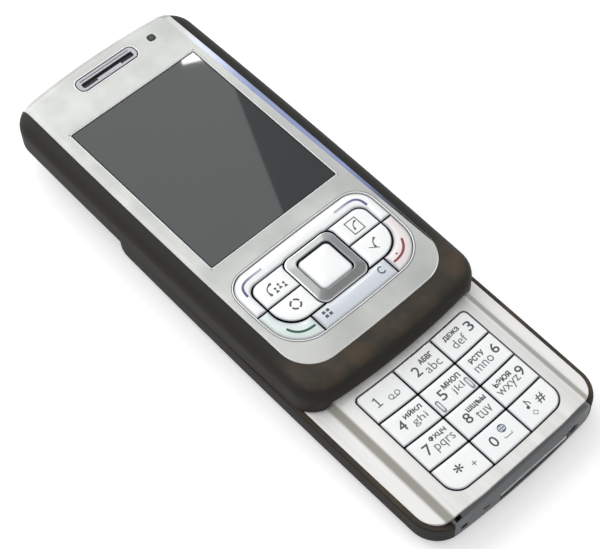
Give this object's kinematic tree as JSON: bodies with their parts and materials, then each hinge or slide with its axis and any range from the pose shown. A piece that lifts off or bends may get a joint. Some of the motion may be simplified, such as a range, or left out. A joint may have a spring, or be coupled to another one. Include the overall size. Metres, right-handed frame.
{
  "type": "slider mobile phone",
  "caption": "Candybar-shaped phone whose screen half slides up over its base to uncover a curved number pad, with a tipping navigation ring, side keys and a sliding battery cover.",
  "frame": {"origin": "on the table, under the middle of the open phone's bounding box", "axes": "+Y along the phone from the keypad towards the earpiece, +Z out of the screen, +X to the phone's right as it is read"},
  "size_m": [0.05, 0.14, 0.0158],
  "materials": {
    "soft_brown": "soft-touch",
    "black_plastic": "satin",
    "silver_face": "satin",
    "silver_pad": "satin",
    "white_keys": "pearl",
    "bright_ring": "polished",
    "gunmetal": "satin",
    "connector_lip": "satin",
    "steel": "brushed",
    "window": "clear",
    "display": "gloss",
    "board": "gloss",
    "silicone": "matt",
    "amber_film": "gloss",
    "battery_shell": "labelled",
    "side_keys": "satin"
  },
  "bodies": {
    "base": {"base_case": "soft_brown", "keypad_plate": "silver_pad", "slide_bed": "black_plastic", "slide_carriage": "steel", "assist_springs": "steel", "flex_cable": "amber_film", "end_cap": "gunmetal", "connector": "connector_lip", "charging_socket": "bright_ring", "microphone": "black_plastic", "battery": "battery_shell", "sim_holder": "black_plastic", "main_board": "board", "keypad_mat": "silicone", "camera_module": "black_plastic", "camera_window": "bright_ring", "loudspeaker": "black_plastic", "vibration_motor": "steel", "antenna": "black_plastic", "case_screws": "steel"},
    "upper_half": {"upper_case": "soft_brown", "face_plate": "silver_face", "display_window": "window", "display_module": "display", "earpiece_grille": "bright_ring", "earpiece": "black_plastic", "light_sensor": "black_plastic", "control_mat": "silicone", "control_board": "board", "upper_frame": "black_plastic", "slide_plate": "steel", "deck_screws": "steel"},
    "battery_cover": {"battery_cover": "soft_brown"},
    "key_1": {"key_1": "white_keys"},
    "key_2": {"key_2": "white_keys"},
    "key_3": {"key_3": "white_keys"},
    "key_4": {"key_4": "white_keys"},
    "key_5": {"key_5": "white_keys"},
    "key_6": {"key_6": "white_keys"},
    "key_7": {"key_7": "white_keys"},
    "key_8": {"key_8": "white_keys"},
    "key_9": {"key_9": "white_keys"},
    "key_star": {"key_star": "white_keys"},
    "key_0": {"key_0": "white_keys"},
    "key_hash": {"key_hash": "white_keys"},
    "call_key": {"call_key": "white_keys"},
    "end_key": {"end_key": "white_keys"},
    "quick_key_upper_left": {"quick_key_upper_left": "white_keys"},
    "quick_key_upper_right": {"quick_key_upper_right": "white_keys"},
    "quick_key_lower_left": {"quick_key_lower_left": "white_keys"},
    "quick_key_lower_right": {"quick_key_lower_right": "white_keys"},
    "select_key": {"select_key": "white_keys"},
    "volume_up_key": {"volume_up_key": "side_keys"},
    "voice_key": {"voice_key": "side_keys"},
    "volume_down_key": {"volume_down_key": "side_keys"},
    "power_key": {"power_key": "side_keys"},
    "soft_key_bar": {"soft_key_bar": "white_keys"},
    "menu_clear_bar": {"menu_clear_bar": "white_keys"},
    "navigation_carrier": {"navigation_carrier": "side_keys"},
    "navigation_ring": {"navigation_ring": "bright_ring"}
  },
  "joints": [
    {"name": "screen_slide", "type": "slide", "parent": "base", "child": "upper_half", "axis": [0, -1, 0], "range_m": [0, 0.035], "deforming": ["assist_springs", "flex_cable"]},
    {"name": "battery_cover_slide", "type": "slide", "parent": "base", "child": "battery_cover", "axis": [0, -1, 0], "range_m": [0, 0.008]},
    {"name": "key_1_press", "type": "slide", "parent": "base", "child": "key_1", "axis": [0, 0, -1], "range_m": [0, 0.00025], "stiffness_N_per_m": 2000, "deforming": ["keypad_mat"]},
    {"name": "key_2_press", "type": "slide", "parent": "base", "child": "key_2", "axis": [0, 0, -1], "range_m": [0, 0.00025], "stiffness_N_per_m": 2000, "deforming": ["keypad_mat"]},
    {"name": "key_3_press", "type": "slide", "parent": "base", "child": "key_3", "axis": [0, 0, -1], "range_m": [0, 0.00025], "stiffness_N_per_m": 2000, "deforming": ["keypad_mat"]},
    {"name": "key_4_press", "type": "slide", "parent": "base", "child": "key_4", "axis": [0, 0, -1], "range_m": [0, 0.00025], "stiffness_N_per_m": 2000, "deforming": ["keypad_mat"]},
    {"name": "key_5_press", "type": "slide", "parent": "base", "child": "key_5", "axis": [0, 0, -1], "range_m": [0, 0.00025], "stiffness_N_per_m": 2000, "deforming": ["keypad_mat"]},
    {"name": "key_6_press", "type": "slide", "parent": "base", "child": "key_6", "axis": [0, 0, -1], "range_m": [0, 0.00025], "stiffness_N_per_m": 2000, "deforming": ["keypad_mat"]},
    {"name": "key_7_press", "type": "slide", "parent": "base", "child": "key_7", "axis": [0, 0, -1], "range_m": [0, 0.00025], "stiffness_N_per_m": 2000, "deforming": ["keypad_mat"]},
    {"name": "key_8_press", "type": "slide", "parent": "base", "child": "key_8", "axis": [0, 0, -1], "range_m": [0, 0.00025], "stiffness_N_per_m": 2000, "deforming": ["keypad_mat"]},
    {"name": "key_9_press", "type": "slide", "parent": "base", "child": "key_9", "axis": [0, 0, -1], "range_m": [0, 0.00025], "stiffness_N_per_m": 2000, "deforming": ["keypad_mat"]},
    {"name": "key_star_press", "type": "slide", "parent": "base", "child": "key_star", "axis": [0, 0, -1], "range_m": [0, 0.00025], "stiffness_N_per_m": 2000, "deforming": ["keypad_mat"]},
    {"name": "key_0_press", "type": "slide", "parent": "base", "child": "key_0", "axis": [0, 0, -1], "range_m": [0, 0.00025], "stiffness_N_per_m": 2000, "deforming": ["keypad_mat"]},
    {"name": "key_hash_press", "type": "slide", "parent": "base", "child": "key_hash", "axis": [0, 0, -1], "range_m": [0, 0.00025], "stiffness_N_per_m": 2000, "deforming": ["keypad_mat"]},
    {"name": "call_key_press", "type": "slide", "parent": "upper_half", "child": "call_key", "axis": [0, 0, -1], "range_m": [0, 0.00025], "stiffness_N_per_m": 2000, "deforming": ["control_mat"]},
    {"name": "end_key_press", "type": "slide", "parent": "upper_half", "child": "end_key", "axis": [0, 0, -1], "range_m": [0, 0.00025], "stiffness_N_per_m": 2000, "deforming": ["control_mat"]},
    {"name": "quick_key_upper_left_press", "type": "slide", "parent": "upper_half", "child": "quick_key_upper_left", "axis": [0, 0, -1], "range_m": [0, 0.00025], "stiffness_N_per_m": 2000, "deforming": ["control_mat"]},
    {"name": "quick_key_upper_right_press", "type": "slide", "parent": "upper_half", "child": "quick_key_upper_right", "axis": [0, 0, -1], "range_m": [0, 0.00025], "stiffness_N_per_m": 2000, "deforming": ["control_mat"]},
    {"name": "quick_key_lower_left_press", "type": "slide", "parent": "upper_half", "child": "quick_key_lower_left", "axis": [0, 0, -1], "range_m": [0, 0.00025], "stiffness_N_per_m": 2000, "deforming": ["control_mat"]},
    {"name": "quick_key_lower_right_press", "type": "slide", "parent": "upper_half", "child": "quick_key_lower_right", "axis": [0, 0, -1], "range_m": [0, 0.00025], "stiffness_N_per_m": 2000, "deforming": ["control_mat"]},
    {"name": "select_key_press", "type": "slide", "parent": "upper_half", "child": "select_key", "axis": [0, 0, -1], "range_m": [0, 0.00025], "stiffness_N_per_m": 2000, "deforming": ["control_mat"]},
    {"name": "volume_up_key_press", "type": "slide", "parent": "base", "child": "volume_up_key", "axis": [-1, 0, 0], "range_m": [0, 0.00025], "stiffness_N_per_m": 2000},
    {"name": "voice_key_press", "type": "slide", "parent": "base", "child": "voice_key", "axis": [-1, 0, 0], "range_m": [0, 0.00025], "stiffness_N_per_m": 2000},
    {"name": "volume_down_key_press", "type": "slide", "parent": "base", "child": "volume_down_key", "axis": [-1, 0, 0], "range_m": [0, 0.00025], "stiffness_N_per_m": 2000},
    {"name": "power_key_press", "type": "slide", "parent": "base", "child": "power_key", "axis": [0, -1, 0], "range_m": [0, 0.00025], "stiffness_N_per_m": 2000},
    {"name": "soft_key_bar_rock", "type": "hinge", "parent": "upper_half", "child": "soft_key_bar", "pos_m": [0, -0.0035, 0.01375], "axis": [0, 1, 0], "range_deg": [-0.8, 0.8], "stiffness_Nm_per_rad": 0.5, "deforming": ["control_mat"]},
    {"name": "menu_clear_bar_rock", "type": "hinge", "parent": "upper_half", "child": "menu_clear_bar", "pos_m": [0, -0.0203, 0.01375], "axis": [0, 1, 0], "range_deg": [-1.2, 1.2], "stiffness_Nm_per_rad": 0.5, "deforming": ["control_mat"]},
    {"name": "navigation_up_down", "type": "hinge", "parent": "upper_half", "child": "navigation_carrier", "pos_m": [0, -0.0109, 0.0137], "axis": [1, 0, 0], "range_deg": [-1.5, 1.5], "stiffness_Nm_per_rad": 0.3, "deforming": ["control_mat"]},
    {"name": "navigation_left_right", "type": "hinge", "parent": "navigation_carrier", "child": "navigation_ring", "pos_m": [0, -0.0109, 0.01383], "axis": [0, 1, 0], "range_deg": [-1.5, 1.5], "stiffness_Nm_per_rad": 0.3}
  ]
}
